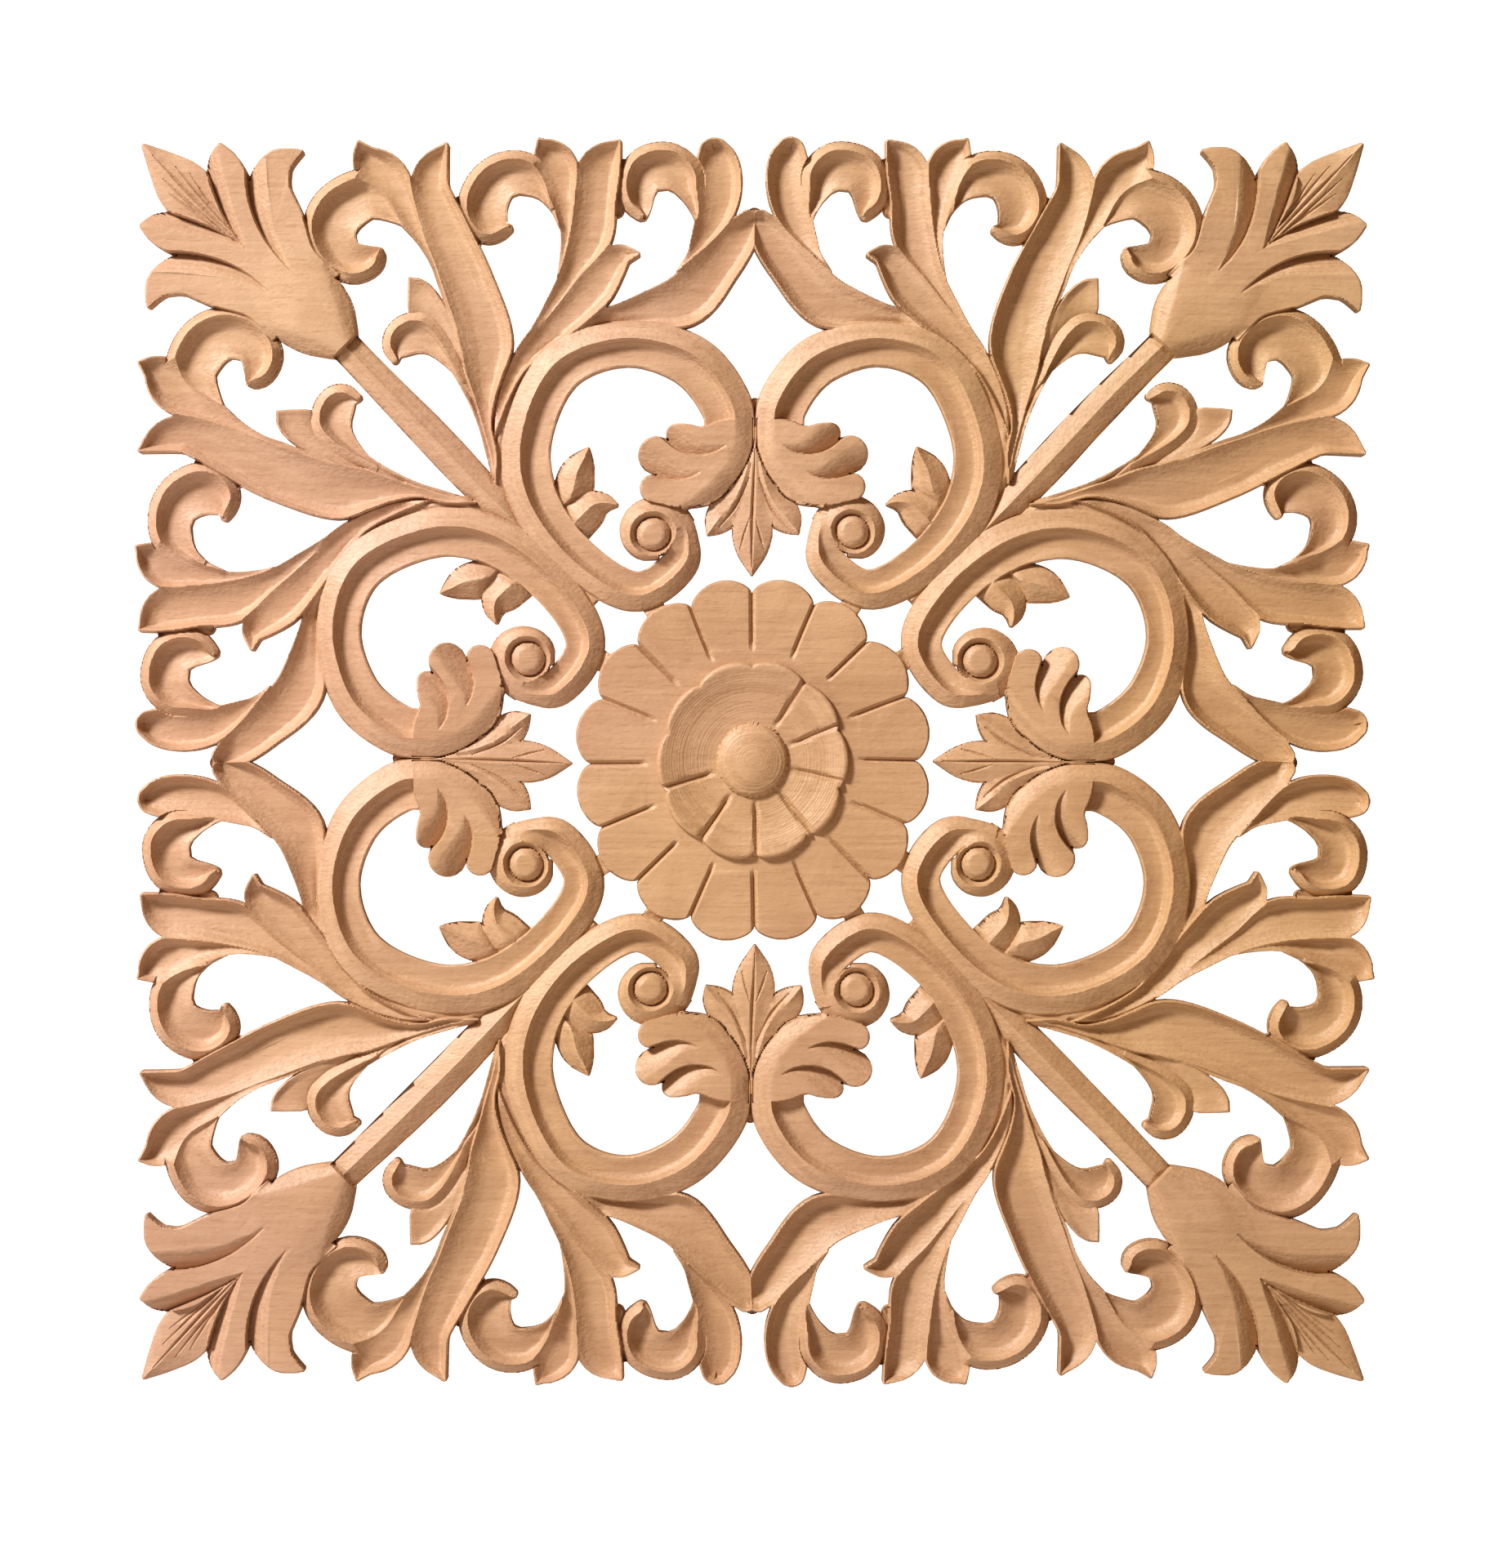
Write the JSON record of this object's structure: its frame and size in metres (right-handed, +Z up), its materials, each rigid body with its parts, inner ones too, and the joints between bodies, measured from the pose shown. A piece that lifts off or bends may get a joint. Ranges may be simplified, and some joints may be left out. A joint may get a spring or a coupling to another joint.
{
  "type": "carved wood medallion",
  "caption": "Square pierced wall medallion carved from pale bare wood: a central flower in a dished rosette, ringed by mirrored scrolls, acanthus leaves and corner palmettes.",
  "frame": {"origin": "The middle of the flat back, behind the flower's boss, where the panel is fixed to the wall.", "axes": "The panel hangs upright: +Z is up, +Y points into the wall along its thickness, and the carved face looks along -Y."},
  "size_m": [0.5988, 0.0195, 0.6048],
  "materials": {
    "carved_wood": "bare carved hardwood with fine horizontal grain and tool marks"
  },
  "bodies": {
    "root": {"medallion_panel": "carved_wood"}
  },
  "joints": []
}
